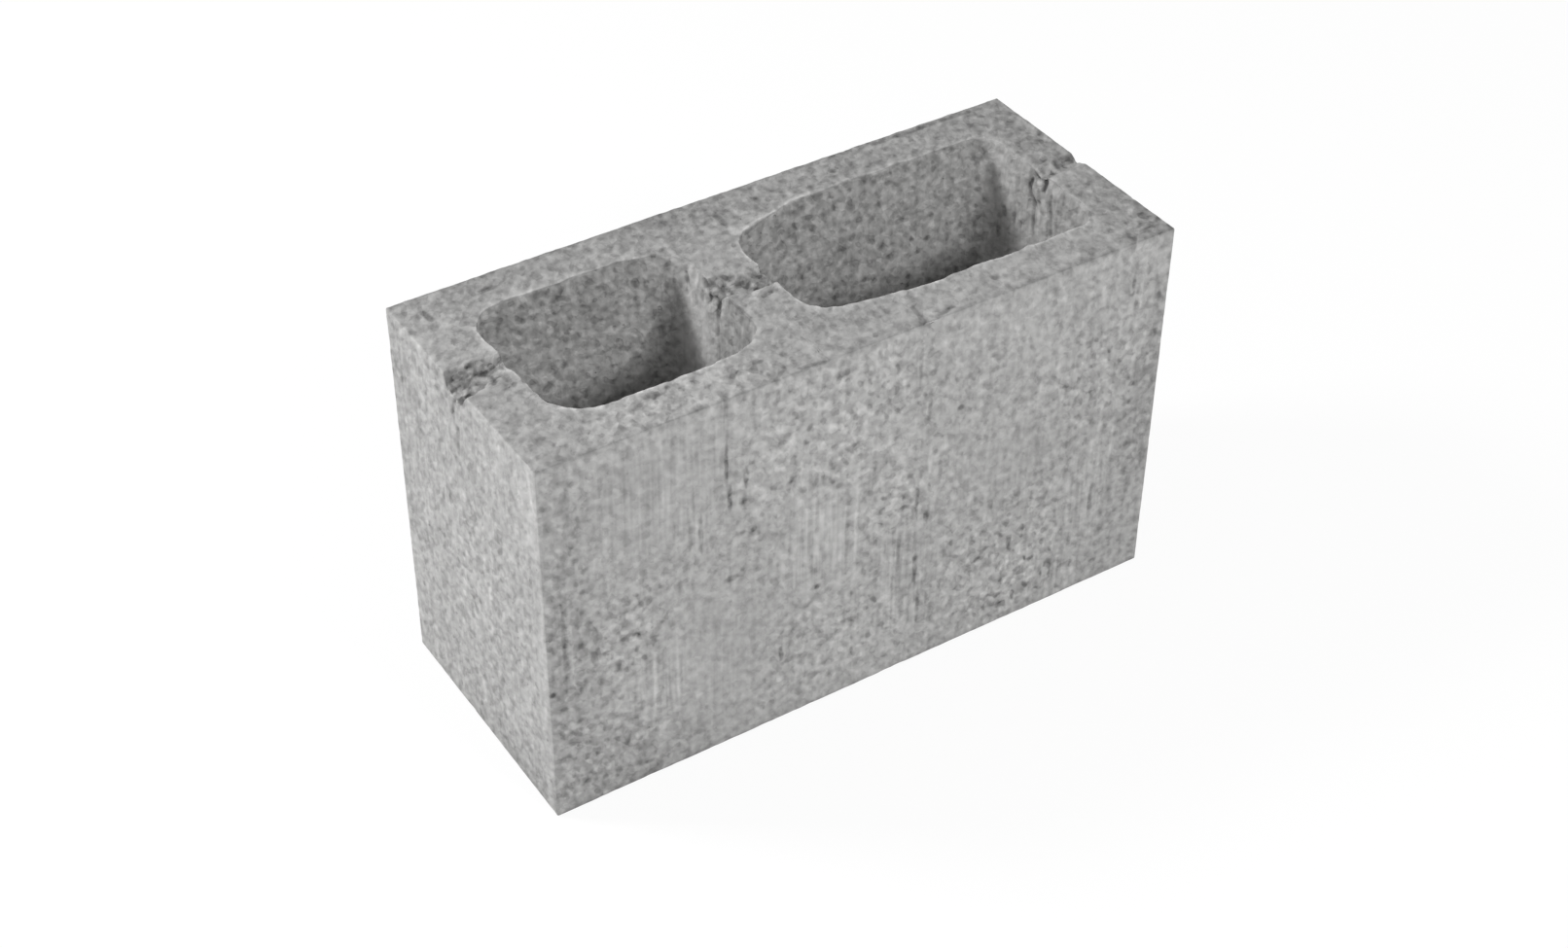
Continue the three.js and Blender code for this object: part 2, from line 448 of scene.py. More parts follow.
# Chips knocked out of the edges, and lumps left standing on the bed and in its grooves: x, y, z of the
# middle, how far each reaches, and how deep it goes or how high it stands.
CHIPS = [
    (31, -70, 205, 5, 1.8), (-170, -62, 205, 4, 1), (-170, -40, 205, 3, 0.6), (-170, -24, 205, 4, 0.9),
    (-38, 10, 203, 4.5, 1.2), (145, -8, 204, 5, 1.2), (154, -5, 204.5, 4.5, 0.9),
    (163.5, 1, 203, 4.5, 0.8), (20, 70, 0, 6, 1),
]
STANDING = [
    (-22, -9, 204, 3.8, 0.8), (-17.5, -8.5, 203.5, 3.8, 1), (-13.5, -7, 203, 3.2, 0.9),
    (-35.5, 5.5, 201.5, 4, 1.8), (-147, 3.5, 201.5, 3.6, 1.2), (-158, 12.5, 204.5, 3.6, 0.5),
    (157, 6, 203.5, 5, 0.8), (160, -9, 204.5, 6, 0.5), (-20, 50, 204, 4, 0.5), (-11, 45, 204, 4.5, 0.5),
]


def bowls(points, places, seed):
    """Depth at each point of the bowls at the given places: each is its depth times
    1 - (distance / reach)^2, with its outline pushed in and out by lumps, and the deepest wins."""
    depth = np.zeros(len(points))
    ragged = 1 + lumps(points, 0.35, 4.0, seed)
    for x, y, z, reach, deep in places:
        distance = np.linalg.norm(points - [x, y, z], axis=1) * ragged
        depth = np.maximum(depth, deep * np.clip(1 - (distance / reach) ** 2, 0.0, 1.0))
    return depth


# The plane that each marked face lies in: the axis across it, where it is, and which way it faces.
FACES = {
    "front": (1, -WIDTH / 2, -1),
    "left": (0, -LENGTH / 2, -1),
    "bed": (2, HEIGHT, 1),
    "back_wall": (1, WIDTH / 2 - FACE_SHELL, -1),
    "middle_web": (0, SMALL_RIGHT, -1),
    "right_web": (0, LARGE_RIGHT, -1),
}

GRAIN_LIMITS = (-0.7, 0.8)
# Zones of each face whose tone, grain and streaks differ from elsewhere: the middle and the half axes in the
# face's own two directions, and what the zone adds to the tone, and then to the grain and to the streaks
# where it changes them too. Grain and streaks change where the concrete came out of the mould otherwise.
# On the bed the back shell is darker and the front shell paler, and the darker right end is painted shade
# where the light falls off. In the cells the tone is mostly painted light and shade.
ZONES = {
    "front": [
        (-162, 100, 26, 120, -0.18, 0.1), (-140, 8, 50, 44, -0.12, 0.25), (-105, 120, 80, 90, -0.05),
        (162, 120, 22, 110, -0.13), (20, 5, 120, 45, 0.08), (110, 22, 60, 40, 0.04),
        (-15, 140, 55, 75, 0.03), (-128, 96, 32, 34, 0, 0.4), (-15, 168, 80, 56, 0, 0.35),
        (14, 108, 32, 26, 0, 0.5), (78, 44, 54, 54, 0, 0.5), (134, 136, 40, 40, 0, 0.35, 0.2),
        (-20, 40, 50, 36, 0, 0.3, 0.3), (-105, 168, 54, 50, -0.01, -0.6, 0.8),
        (-84, 62, 38, 60, 0.02, -0.6, 0.2), (-28, 102, 28, 36, 0.03, -0.5, 1.6),
        (-114, 58, 22, 32, 0, 0, 1.4), (22, 64, 26, 70, 0, 0, 1.0), (84, 104, 34, 26, 0, -0.5, 0.2),
        (132, 62, 26, 44, 0, 0, 1.0), (116, 14, 16, 24, 0, 0.2, 1.0), (-10, 24, 60, 36, 0.08),
        (-150, 34, 30, 20, -0.04), (80, 12, 24, 14, -0.10, 0.2), (90, 26, 44, 40, 0, 0.3),
        (-140, 40, 40, 60, 0, 0.15), (10, 20, 50, 30, 0, 0.2), (-148, 182, 44, 32, -0.05),
        (-56, 160, 24, 26, 0.06), (110, 100, 36, 30, -0.06), (160, 112, 20, 40, -0.10),
        (0, 194, 20, 16, 0.06), (36, 46, 44, 28, 0.05), (-20, 66, 22, 28, 0.06),
        (-144, 46, 26, 18, -0.05),
    ],
    "left": [
        (66, 150, 34, 80, -0.07, -0.2, 0.4), (-64, 180, 14, 50, 0.12, -0.3),
        (-64, 90, 10, 80, 0.06, -0.3), (-20, 0, 90, 26, -0.04), (-10, 110, 45, 50, 0, 0.2),
        (62, 186, 20, 40, -0.06), (60, 82, 18, 24, -0.06), (20, 150, 50, 50, -0.03),
        (-40, 10, 50, 26, -0.08), (0, 196, 14, 20, 0.06),
    ],
    "bed": [
        (-90, 62, 120, 18, -0.11), (-80, -60, 110, 16, 0.11), (-34, -40, 24, 34, 0.05),
        (60, -60, 90, 14, 0.06), (163, -55, 18, 34, -0.10, 0.3), (-149, -6, 9, 13, -0.10),
        (-158, 2, 14, 14, 0.12), (164, 5, 10, 12, 0.14), (-90, -58, 76, 16, 0, 0.5),
        (90, -58, 70, 16, 0, -0.2), (-24, 62, 34, 14, -0.09), (150, 60, 26, 16, -0.07),
        (-24, 26, 16, 20, 0.05, -0.7), (60, 58, 110, 18, -0.08, 0.1), (157, 30, 16, 50, -0.07, 0.1),
        (160, -20, 16, 18, -0.06), (147, 2, 13, 14, 0.30, -0.2), (100, -58, 70, 16, 0.07),
        (-157, 30, 16, 40, 0.07),
    ],
    # In the cells: painted shade in the deep corners beside the webs, and painted light down the back walls,
    # near their upper corners and on the lit strips of the webs. A band under the back walls' rims and the
    # middle web's front part are darker as well.
    "back_wall": [
        (-95, 152, 46, 36, 0.14), (60, 150, 90, 70, 0.03), (-95, 198, 56, 14, -0.10),
        (80, 200, 80, 10, -0.06), (-95, 105, 56, 36, 0.09, 0.4), (124, 124, 36, 34, -0.22, -0.5),
        (-54, 124, 22, 30, -0.18, -0.5), (130, 184, 18, 34, 0.08), (-54, 150, 18, 60, 0.08),
    ],
    "middle_web": [
        (34, 170, 14, 60, 0.08), (18, 165, 20, 60, 0.31, -0.6), (-16, 170, 14, 50, -0.11, 0.2),
    ],
    "right_web": [
        (0, 180, 34, 50, 0.03, 0, 0.6), (34, 186, 18, 38, 0.18), (36, 156, 14, 34, 0.12),
    ],
}


def on_face(face, points, normals):
    """The points' places in a face's plane, their distances from the plane, and how squarely they face its
    way, from -1 to 1."""
    axis, level, side = FACES[face]
    return np.delete(points, axis, axis=1), np.abs(points[:, axis] - level), side * normals[:, axis]


def zone_changes(points, normals):
    """Tone, grain and streaks that the zones add at each point: the zone's values times a smooth fall from
    the middle of its ellipse to its edge, on points that lie near the face's plane and face its way. The
    grain's sum is then kept within GRAIN_LIMITS."""
    total = np.zeros((3, len(points)))
    for face, rows in ZONES.items():
        places, distance, facing = on_face(face, points, normals)
        near = rise(distance, 6.0, 3.0) * rise(facing, 0.5, 0.8)
        for x, y, reach_x, reach_y, *changes in rows:
            from_middle = np.linalg.norm((places - [x, y]) / [reach_x, reach_y], axis=1)
            share = rise(from_middle, 1.0, 0.25) * near
            for row, change in zip(total, changes):
                row += change * share
    total[1] = np.clip(total[1], *GRAIN_LIMITS)
    return total


MARK_BAND = 9.0  # how far from a face's plane its marks still reach
# Marks on each face that are pressed into the mesh or stand out of it: the points that each runs through in
# the face's own two directions, half its width, how much paler (or, below 0, darker) it is, and its height.
# The sunk marks' darkness is partly painted shade in their dents, and the raised marks' paleness partly a
# painted highlight on their lumps; the rest is the concrete's own spots.
MARKS = {
    "bed": [
        ([(29.6, -57), (28.6, -66), (28.4, -69.6)], 1.7, -0.30, -0.5),
        ([(28.4, -69.6), (37.5, -67.6), (46, -65)], 1.7, -0.36, -0.5),
        ([(33, -64), (36, -66)], 1.8, 0.21, 0.3),
        ([(-38, -67.4), (-31, -68.2), (-25.6, -69.2)], 1.6, -0.38, -0.4),
        ([(-23.5, -61)], 1.8, -0.52, -0.5), ([(-36.6, -8), (-36.4, -24)], 1.7, -0.24, -0.1),
        ([(162, 7.6), (169, 7)], 2.3, -0.31, -0.3), ([(62, 57)], 3.0, -0.52, -0.5),
        ([(75, -57)], 3.0, -0.45, -0.5), ([(-38, -55)], 3.2, -0.38, -0.4),
        ([(-14, 57), (-6, 57), (-6, 46)], 2.4, -0.26, -0.4), ([(17, 60), (18, 47)], 2.2, -0.20, -0.3),
        ([(-7, 36.5), (2, 38), (12, 39.8), (20, 41.5)], 2.3, 0.24, 0.4),
        ([(28, 45), (36, 46.6), (46, 46.6)], 2.1, 0.20, 0.3), ([(57, 45.8), (64, 46.5)], 2.1, 0.16, 0.3),
        ([(-15, -4), (-15, 5)], 2.8, -0.30, -0.2), ([(-128, 58), (-121, 58)], 2.4, -0.42, -0.4),
        ([(-157, 57), (-157, 50)], 2.4, -0.42, -0.4), ([(92, 66.5), (150, 66.5)], 2.0, -0.30, -0.2),
        ([(143, 4), (149, 9), (156, 12)], 2.0, -0.24, -0.3),
        ([(152, -59.7), (166, -55)], 1.7, -0.22, -0.3), ([(152, -64.5), (166, -60)], 1.6, -0.20, -0.3),
        ([(152, -62.2), (166.6, -57.6)], 1.5, 0.20, 0.3),
        ([(145, -58.5), (152, -57), (165, -52.6)], 1.6, 0.16, 0.3),
        ([(-25, -10), (-20, -8.3), (-15, -6.8)], 1.9, 0.35, 0.8),
        ([(-22, -13.2), (-17, -12.2)], 1.7, -0.38, -0.7),
        ([(-17, -0.8), (-20, -4), (-23, -6.4)], 1.6, -0.38, -0.8),
        ([(-21.6, 0.8), (-19.6, 3.2)], 1.4, -0.38, -0.5), ([(-18.4, 1.0)], 1.8, 0.38, 0.8),
        ([(-35, 10)], 1.9, -0.32, -0.5), ([(-30, 7.6)], 1.5, -0.32, -0.4),
        ([(-26, -14), (-28, -12)], 1.7, 0.27, 0.5), ([(-20, -17.2)], 2.6, 0.22, 0.4),
        ([(-168, 8.4)], 2.4, -0.43, -0.6), ([(-165, 8.6)], 1.7, -0.43, -0.6),
        ([(-156, 9.6)], 2.0, -0.37, -0.5), ([(-158.5, 3.8)], 2.2, -0.45, -0.7),
        ([(-160.5, -2.5)], 2.4, -0.45, -0.7),
        ([(-151.5, 3.0), (-153.0, -2), (-155, -6)], 1.9, -0.45, -0.7),
        ([(-155.8, -0.6), (-158, -3.5)], 1.5, 0.53, 0.7), ([(-166, 2), (-163, 5.5)], 1.5, 0.53, 0.6),
        ([(-149, -1), (-148.5, -8)], 2.4, -0.19, -0.4), ([(-147, 3.2)], 1.9, 0.48, 0.6),
        ([(161.5, 2.6)], 1.6, -0.38, -0.4), ([(161.5, -1.6)], 1.6, -0.38, -0.4),
        ([(149, 8.6), (155, 10.8)], 1.8, -0.32, -0.3), ([(148, 3), (143.5, 0.5)], 1.8, 0.34, 0.3),
        ([(-153, 5), (-156, 6.5)], 1.6, 0.34, 0.6),
    ],
    "left": [
        ([(4.6, 195), (6.2, 184)], 2.2, -0.26, -0.4), ([(2.4, 180), (4.4, 165)], 2.3, -0.24, -0.4),
        ([(-0.5, 197.6)], 2.2, -0.36, -0.8), ([(16.0, 188.6)], 2.8, -0.36, -0.6),
        ([(-63, 200), (-66, 182)], 2.0, 0.20, 0.0), ([(-52, 196), (-54, 182)], 1.8, 0.14, 0.0),
    ],
    "middle_web": [
        ([(1.5, 204), (1, 189)], 2.2, -0.50, -0.9), ([(1, 189), (-1, 160)], 1.8, -0.26, -0.4),
        ([(28, 198), (27, 194)], 2.2, -0.45, -0.6), ([(25, 203), (26, 199)], 1.8, 0.25, 0.5),
        ([(12.5, 203), (13, 200)], 2.2, -0.45, -0.6), ([(19, 202), (20, 196)], 1.8, 0.28, 0.6),
        ([(14.4, 195.5), (15, 192)], 2.2, -0.40, -0.6), ([(7.6, 198), (8.5, 195)], 2.0, -0.40, -0.6),
        ([(10.5, 199), (11.5, 192)], 1.5, 0.26, 0.5), ([(25.7, 192), (24, 186)], 1.9, 0.20, 0.4),
        ([(20, 190), (19, 185)], 2.0, -0.22, -0.4),
    ],
    "right_web": [
        ([(1.5, 203), (6.1, 199.7), (9.1, 193.7), (7.5, 189.3), (3.9, 186.2)], 2.1, -0.60, -1.0),
        ([(3.9, 186.2), (0.3, 188.9)], 1.7, -0.48, -0.6),
        ([(-2.4, 201.4), (-1.6, 196.6)], 2.4, -0.62, -1.0), ([(0.6, 197), (0.2, 193)], 1.8, 0.24, 0.5),
        ([(4.5, 184), (3.3, 168)], 1.9, -0.34, -0.6),
        ([(-7.7, 196), (-8.6, 186), (-10.2, 174)], 2.1, -0.36, -0.7),
        ([(0.5, 186), (-1, 170)], 1.9, 0.18, 0.3), ([(-4.5, 190), (-5.5, 174)], 1.9, 0.16, 0.3),
        ([(19, 172), (19, 168)], 2.2, -0.34, -0.6), ([(27, 171), (26, 166)], 2.4, -0.30, -0.6),
    ],
}


def path_distance(places, path):
    """Distance of each place in a plane from the nearest of the straight lines that join a path's points."""
    path = np.array(path, dtype=float)
    if len(path) == 1:
        return np.linalg.norm(places - path[0], axis=1)
    nearest = np.full(len(places), LENGTH)
    for start, end in zip(path, path[1:]):
        along = end - start
        share = np.clip((places - start) @ along / (along @ along), 0.0, 1.0)
        nearest = np.minimum(nearest, np.linalg.norm(places - start - share[:, None] * along, axis=1))
    return nearest


def mark_changes(points, normals):
    """How close each point is to its nearest mark, 1 on the mark's path, 0 at its half width and less beyond,
    for points that lie near the face's plane and face its way. Also that mark's tone, and the height that
    all marks add: their own, rising smoothly from the edge to the path."""
    closest, tone, raised = np.full(len(points), -1.0), np.zeros(len(points)), np.zeros(len(points))
    for face, rows in MARKS.items():
        places, distance, facing = on_face(face, points, normals)
        near = (distance < MARK_BAND) & (facing > 0.05)
        for path, width, paler, high in rows:
            close = np.where(near, 1 - path_distance(places, path) / width, -1.0)
            tone = np.where(close > closest, paler, tone)
            closest = np.maximum(closest, close)
            raised += high * rise(close, 0.0, 0.8)
    return closest, tone, raised


# Lumps of the cast surface, each set with its height, size and seed. Pits, wear, tears and burrs are where
# their lumps pass a limit.
RIM_WANDER = [(0.5, 19.0, 11), (0.5, 7.0, 12)]
WAVES = [(0.10, 70.0, 1), (0.07, 17.0, 2), (0.08, 6.0, 3)]
WALL_STREAKS = (0.10, (4.5, 4.5, 75.0), 4)
PITS = (1.0, 5.2, 5)
HUMMOCKS = [(0.28, 9.0, 6), (0.30, 4.4, 7)]
WEAR = (1.0, 9.0, 8)
RIM_LUMPS = (0.35, 5.0, 9)
RIM_TEARS = (1.0, 13.0, 10)
BURRS = (1.0, 12.0, 13)
GROOVE_LUMPS = [(1.3, 3.8, 14), (0.6, 7.0, 15)]
CHIP_SEED, STANDING_SEED = 31, 32

MEAN_SINK = 0.16  # how far the surface lies below the smooth mesh
PIT_DEPTH = 0.6
LEAST_WEAR, MORE_WEAR = 0.05, 0.22  # depth lost from every edge, and how much more where it is worn
TEAR_DEPTH = 0.4
BURR_HEIGHT = 0.8
GROOVE_SHIFT = 1.0  # how much further back than its groove the rough concrete lies
GROOVE_REACH = 10.0  # how far below the top it goes
LEAST_PROUD = 0.12  # how much of a proud rim's burrs and paleness the other rims have

# How far from a rim its lean and wander end, and how far from its edge each other effect is down to 1 / e.
RIM_REACH = 10.0
TEAR_REACH = 2.0
BURR_REACH = 2.2
PALE_REACH = 1.3  # a proud rim's paleness
BED_REACH = 2.5  # the bed's mask, over a rim that isn't proud
ARRIS_REACH = 1.4
UPRIGHT_REACH = 1.2


def fading(distance, reach):
    """1 at an edge and 1 / e at reach from it, an exponential fall."""
    return np.exp(-distance / reach)


def cast_surface(points, rim_distance, on_wall, away, quads):
    """The smooth mesh given the surface that comes out of the mould.
    A cell's rim leans into it, wanders in plan and throws up burrs, all fading with distance from it. The
    burrs stand mostly at the cell's front and left, where the rim is proud, and less at its back.
    Everywhere the surface sinks along its normal by the sum of: long waves, lumps, streaks drawn up the
    walls by the mould, pits, hummocks on the bed, rough grooves, worn edges, torn rims, marks and chips.
    Returns the points, and masks for the material. The bed's mask reaches a little way over a rim that
    isn't proud."""
    rim = rise(rim_distance, RIM_REACH, 0.0)
    level = points * [1.0, 1.0, 0.0]
    points = points.copy()
    lip = LIP - LIP_LEFT * away[:, 0] - LIP_FRONT * away[:, 1]
    points[:, :2] += away * (rim * (all_lumps(level, RIM_WANDER) - lip))[:, None]
    normals = vertex_normals(points, quads)
    upright = 1 - np.abs(normals[:, 2])
    near_top = rise(points[:, 2], HEIGHT - GROOVE_REACH - 4, HEIGHT - GROOVE_REACH)
    groove = rise(groove_depth(points[:, 0], points[:, 1] - GROOVE_SHIFT), 0.6, 2.6) * near_top
    front_or_left = rise(-away[:, 1] - 0.6 * away[:, 0], -0.3, 0.6)
    proud = np.maximum(front_or_left, 0.5 * rise(away[:, 1], 0.7, 0.95))
    proud = LEAST_PROUD + (1 - LEAST_PROUD) * proud
    top = rise(normals[:, 2], 0.5, 0.95)
    over_rim = 0.5 * (1 - proud) * fading(rim_distance, BED_REACH)
    bed = np.maximum(rise(normals[:, 2] + over_rim, 0.5, 0.95), rise(points[:, 2], 1.5, 0.0))
    gap_x, gap_y, gap_z = np.abs(np.abs(points - [0, 0, HEIGHT / 2]) - [LENGTH / 2, WIDTH / 2, HEIGHT / 2]).T
    long_arris = fading(np.maximum(gap_y, gap_z), ARRIS_REACH)
    short_arris = fading(np.maximum(gap_x, gap_z), ARRIS_REACH)
    upright_arris = fading(np.maximum(gap_x, gap_y), UPRIGHT_REACH)
    edge = np.maximum(np.maximum(long_arris, short_arris), upright_arris)

    sink = all_lumps(points, WAVES, MEAN_SINK)
    sink += upright * lumps(points, *WALL_STREAKS)
    sink += PIT_DEPTH * (1 - edge) * rise(lumps(points, *PITS), 0.45, 0.8)
    sink += top * all_lumps(points, HUMMOCKS)
    sink += edge * (LEAST_WEAR + MORE_WEAR * rise(lumps(points, *WEAR), 0.1, 0.7))
    torn = TEAR_DEPTH * rise(lumps(points, *RIM_TEARS), 0.1, 0.6)
    sink += fading(rim_distance, TEAR_REACH) * (lumps(points, *RIM_LUMPS) + torn)
    sink += groove * all_lumps(points, GROOVE_LUMPS)
    mark, mark_tone, raised = mark_changes(points, normals)
    sink = np.maximum(sink - raised + bowls(points, CHIPS, CHIP_SEED), 0.0)
    sink -= bowls(points, STANDING, STANDING_SEED)
    points -= normals * sink[:, None]

    near_rim = np.exp(-((rim_distance / BURR_REACH) ** 2))
    burr = proud * rise(lumps(level, *BURRS), -0.1, 0.5) * near_rim * top
    points[:, 2] += BURR_HEIGHT * burr
    half = [LENGTH / 2, WIDTH / 2]
    points[:, :2] = np.clip(points[:, :2], np.negative(half), half)
    points[:, 2] = np.clip(points[:, 2], 0.0, HEIGHT)

    # The zones' tone carries painted light and shade in the cells and on the bed's right end, beside the
    # concrete's own tone.
    shade, grain, streaks = zone_changes(points, normals)
    return points, {
        "edge": long_arris,
        # The worn mask's lightening is partly wear and partly a painted highlight on the arrises.
        "worn": np.maximum(short_arris, upright_arris),
        # The rim mask lightens the proud rims as a painted highlight, where their lips catch the light.
        "rim": fading(rim_distance, PALE_REACH) * top * proud,
        "bed": bed,
        "groove": groove,
        "core": on_wall * (0.2 + 0.8 * rise(np.abs(away[:, 1]), 0.3, 0.8)),
        "mark": mark,
        "mark_tone": mark_tone,
        "shade": shade,
        "grain": grain,
        "streaks": streaks,
    }


def in_scene(name, data):
    """A new object in the scene, with the given mesh, lamp or camera."""
    thing = bpy.data.objects.new(name, data)
    bpy.context.scene.collection.objects.link(thing)
    return thing


def block_piece():
    """The block's visual piece: both rings joined, given their cast surface and put into one mesh."""
    rings = [cell_ring(cell) for cell in (SMALL_CELL, LARGE_CELL)]
    points, rim_distance, on_wall, away, quads = joined(rings)
    points, masks = cast_surface(points, rim_distance, on_wall, away, quads)
    mesh = bpy.data.meshes.new("block_surface")
    mesh.vertices.add(len(points))
    mesh.vertices.foreach_set("co", (points * MM).ravel())
    mesh.loops.add(quads.size)
    mesh.loops.foreach_set("vertex_index", quads.ravel())
    mesh.polygons.add(len(quads))
    mesh.polygons.foreach_set("loop_start", np.arange(0, quads.size, 4))
    mesh.update(calc_edges=True)
    mesh.shade_smooth()
    for name, values in masks.items():
        attribute = mesh.attributes.new(name, "FLOAT", "POINT")
        attribute.data.foreach_set("value", values)
    return in_scene("block_surface", mesh)


# -------- shader building


def put(tree, kind, inputs=None, **settings):
    """Add one node, set its own settings, and link or set its inputs, named or numbered."""
    node = tree.nodes.new(kind)
    for name, value in settings.items():
        setattr(node, name, value)
    for key, value in (inputs or {}).items():
        if isinstance(value, bpy.types.NodeSocket):
            tree.links.new(value, node.inputs[key])
        else:
            node.inputs[key].default_value = value
    return node


def maths(tree, operation, *values, clamp=False):
    """One Math node's output."""
    node = put(tree, "ShaderNodeMath", dict(enumerate(values)), operation=operation, use_clamp=clamp)
    return node.outputs[0]


def vectors(tree, operation, *values, **named):
    """One Vector Math node's output: a number for a length or a dot product, otherwise a vector. The
    factor of SCALE is given by its name, Scale."""
    node = put(tree, "ShaderNodeVectorMath", {**dict(enumerate(values)), **named}, operation=operation)
    return node.outputs["Value" if operation in ("LENGTH", "DOT_PRODUCT") else "Vector"]


def smooth_range(tree, value, low, high):
    """0 at low, 1 at high and a smooth step between them, by a Map Range node."""
    inputs = {"Value": value, "From Min": low, "From Max": high}
    return put(tree, "ShaderNodeMapRange", inputs, interpolation_type="SMOOTHSTEP").outputs["Result"]


def empty_tree(owner):
    """The node tree of a material or a world, in use and without its nodes."""
    owner.use_nodes = True
    owner.node_tree.nodes.clear()
    return owner.node_tree


def shader_group(name, inputs, outputs):
    """An empty node group with named inputs (a default, or None for a vector) and named float outputs."""
    tree = bpy.data.node_groups.new(name, "ShaderNodeTree")
    for label, default in inputs.items():
        kind = "NodeSocketVector" if default is None else "NodeSocketFloat"
        socket = tree.interface.new_socket(name=label, in_out="INPUT", socket_type=kind)
        if default is not None:
            socket.default_value = default
    for label in outputs:
        tree.interface.new_socket(name=label, in_out="OUTPUT", socket_type="NodeSocketFloat")
    return tree, tree.nodes.new("NodeGroupInput").outputs, tree.nodes.new("NodeGroupOutput").inputs


def grain_group():
    """Grain: noise about its middle, roughly -1 to 1, `Size` mm across and stretched upwards by `Draw`.
    `Detail` octaves are added, each `Harshness` times as strong as the one before. `Seed` moves it."""
    inputs = {"Place": None, "Size": 1.0, "Draw": 1.0, "Detail": 2.0, "Harshness": 0.5, "Seed": 0.0}
    tree, given, result = shader_group("grain", inputs, ["Value"])
    across = maths(tree, "DIVIDE", 1.0, given["Size"])
    up = maths(tree, "DIVIDE", across, given["Draw"])
    factor = put(tree, "ShaderNodeCombineXYZ", {"X": across, "Y": across, "Z": up}).outputs[0]
    scaled = vectors(tree, "MULTIPLY_ADD", given["Place"], factor, given["Seed"])
    settings = {"Vector": scaled, "Scale": 1.0, "Detail": given["Detail"], "Roughness": given["Harshness"]}
    noise = put(tree, "ShaderNodeTexNoise", settings)
    centred = maths(tree, "SUBTRACT", noise.outputs["Fac"], 0.5)
    tree.links.new(maths(tree, "MULTIPLY", centred, 4.0), result["Value"])
    return tree


def grit_group():
    """Grit: each cell of a Voronoi pattern `Size` mm apart has one random value from -1 to 1."""
    tree, given, result = shader_group("grit", {"Place": None, "Size": 2.0}, ["Value"])
    across = maths(tree, "DIVIDE", 1.0, given["Size"])
    cells = put(tree, "ShaderNodeTexVoronoi", {"Vector": given["Place"], "Scale": across})
    random = put(tree, "ShaderNodeSeparateColor", {0: cells.outputs["Color"]}).outputs[0]
    tree.links.new(maths(tree, "MULTIPLY_ADD", random, 2.0, -1.0), result["Value"])
    return tree


def pore_group():
    """Pores: round the points of a Voronoi pattern about `Spacing` mm apart. A pore's radius is 0.35 to
    1.35 times `Radius` mm, at random, and a `Share` of them is open."""
    inputs = {"Place": None, "Spacing": 3.0, "Radius": 0.8, "Share": 0.5}
    tree, given, result = shader_group("pores", inputs, ["Mask"])
    across = maths(tree, "DIVIDE", 1.0, given["Spacing"])
    scaled = vectors(tree, "SCALE", given["Place"], Scale=across)
    dots = put(tree, "ShaderNodeTexVoronoi", {"Vector": scaled, "Scale": 1.0})
    random = put(tree, "ShaderNodeSeparateColor", {0: dots.outputs["Color"]}).outputs
    open_share = maths(tree, "LESS_THAN", random[0], given["Share"])
    radius = maths(tree, "MULTIPLY", given["Radius"], maths(tree, "ADD", random[1], 0.35))
    reach = maths(tree, "MULTIPLY", radius, across)
    depth = maths(tree, "SUBTRACT", 1.0, maths(tree, "DIVIDE", dots.outputs["Distance"], reach), clamp=True)
    mask = smooth_range(tree, depth, 0.0, 0.6)
    tree.links.new(maths(tree, "MULTIPLY", mask, open_share), result["Mask"])
    return tree


def mark_group():
    """One mark on the surface: 1 in the middle of an ellipsoid and 0 from its skin outwards. `Scale` is 1 by
    the ellipsoid's half axes, and `Shift` is minus its centre by its half axes."""
    tree, given, result = shader_group("mark", {"Place": None, "Scale": None, "Shift": None}, ["Mask"])
    scaled = vectors(tree, "MULTIPLY_ADD", given["Place"], given["Scale"], given["Shift"])
    distance = vectors(tree, "LENGTH", scaled)
    tree.links.new(smooth_range(tree, distance, 1.0, 0.3), result["Mask"])
    return tree


def placed(tree, group, output, **values):
    """One use of a shader group in a material, with its own values. Returns the named output."""
    return put(tree, "ShaderNodeGroup", values, node_tree=group).outputs[output]


def summed(tree, terms):
    """The sum of value * weight over the terms."""
    total = 0.0
    for value, weight in terms:
        total = maths(tree, "MULTIPLY_ADD", value, weight, total)
    return total


